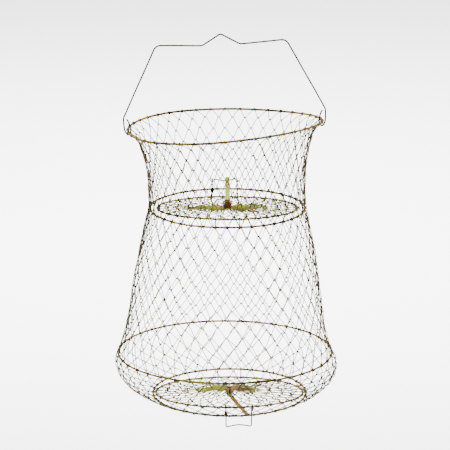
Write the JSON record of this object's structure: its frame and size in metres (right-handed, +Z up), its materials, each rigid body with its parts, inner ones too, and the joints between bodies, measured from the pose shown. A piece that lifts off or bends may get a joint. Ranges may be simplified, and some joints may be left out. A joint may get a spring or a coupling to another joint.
{
  "type": "folding crab trap",
  "caption": "Hanging round wire-net trap that folds flat, with a swinging bail, a hinged lid in the neck and another in the floor.",
  "frame": {"origin": "peak of the bail, on the middle of its wire, where the trap hangs", "axes": "+Z up along the trap, +X to the right along the bail, +Y to the back"},
  "size_m": [0.3376, 0.3376, 0.5821],
  "materials": {
    "bail_wire": "bright yellow-zinc plated drawn wire",
    "hoop_wire": "yellow-zinc plated hoop wire with darker olive patches",
    "net_wire": "thin yellow-zinc plated wire netting",
    "strip": "greenish yellow-zinc plated strip",
    "fitting": "brown tinted plated steel fittings"
  },
  "bodies": {
    "bail": {"bail": "bail_wire"},
    "top_frame": {"top_ring": "hoop_wire", "neck_net": "net_wire"},
    "neck_frame": {"neck_ring": "hoop_wire", "body_net": "net_wire"},
    "belly_frame": {"belly_ring": "hoop_wire", "base_net": "net_wire"},
    "bottom_frame": {"bottom_ring": "hoop_wire"},
    "neck_lid": {"neck_lid_ring": "hoop_wire", "neck_lid_net": "net_wire", "neck_lid_hub": "fitting", "neck_latch_rivet": "fitting", "neck_latch_spring": "fitting", "neck_lid_link_left": "fitting", "neck_lid_link_right": "fitting"},
    "neck_latch": {"neck_latch_strip": "strip"},
    "neck_handle": {"neck_lid_handle": "bail_wire"},
    "bottom_lid": {"bottom_lid_ring": "hoop_wire", "bottom_lid_net": "net_wire", "bottom_lid_hub": "fitting", "bottom_latch_rivet": "fitting", "bottom_latch_spring": "fitting", "bottom_lid_link_left": "fitting", "bottom_lid_link_right": "fitting"},
    "bottom_latch": {"bottom_latch_strip": "strip"},
    "bottom_handle": {"bottom_lid_handle": "bail_wire"}
  },
  "joints": [
    {"name": "bail_swing", "type": "hinge", "parent": "bail", "child": "top_frame", "pos_m": [0.00683, 0, -0.13973], "axis": [0.9988, 0, 0.0488], "range_deg": [-60, 60]},
    {"name": "neck_fold", "type": "slide", "parent": "top_frame", "child": "neck_frame", "axis": [0, 0, 1], "range_m": [0, 0.1], "deforming": ["neck_net"]},
    {"name": "belly_fold", "type": "slide", "parent": "neck_frame", "child": "belly_frame", "axis": [0, 0, 1], "range_m": [0, 0.212], "deforming": ["body_net"]},
    {"name": "bottom_fold", "type": "slide", "parent": "belly_frame", "child": "bottom_frame", "axis": [0, 0, 1], "range_m": [0, 0.045], "deforming": ["base_net"]},
    {"name": "neck_lid_hinge", "type": "hinge", "parent": "neck_frame", "child": "neck_lid", "pos_m": [0.01063, -0.11611, -0.26823], "axis": [1, 0, 0], "range_deg": [0, 58]},
    {"name": "bottom_lid_hinge", "type": "hinge", "parent": "bottom_frame", "child": "bottom_lid", "pos_m": [0.01363, 0.11611, -0.56123], "axis": [1, 0, 0], "range_deg": [0, 100]},
    {"name": "neck_latch_turn", "type": "hinge", "parent": "neck_lid", "child": "neck_latch", "pos_m": [0.01063, 0, -0.26823], "axis": [0, 0.0906, 0.9959], "range_deg": [-60, 60]},
    {"name": "bottom_latch_turn", "type": "hinge", "parent": "bottom_lid", "child": "bottom_latch", "pos_m": [0.01363, 0, -0.56123], "axis": [0, -0.1045, -0.9945], "range_deg": [0, 14]},
    {"name": "neck_handle_fold", "type": "hinge", "parent": "neck_lid", "child": "neck_handle", "pos_m": [0.00621, 0.10388, -0.27769], "axis": [0.9991, 0.0422, -0.0038], "range_deg": [0, 68]},
    {"name": "bottom_handle_fold", "type": "hinge", "parent": "bottom_lid", "child": "bottom_handle", "pos_m": [0.02791, -0.1099, -0.54968], "axis": [0.9918, 0.1274, -0.0134], "range_deg": [-8, 45]}
  ]
}
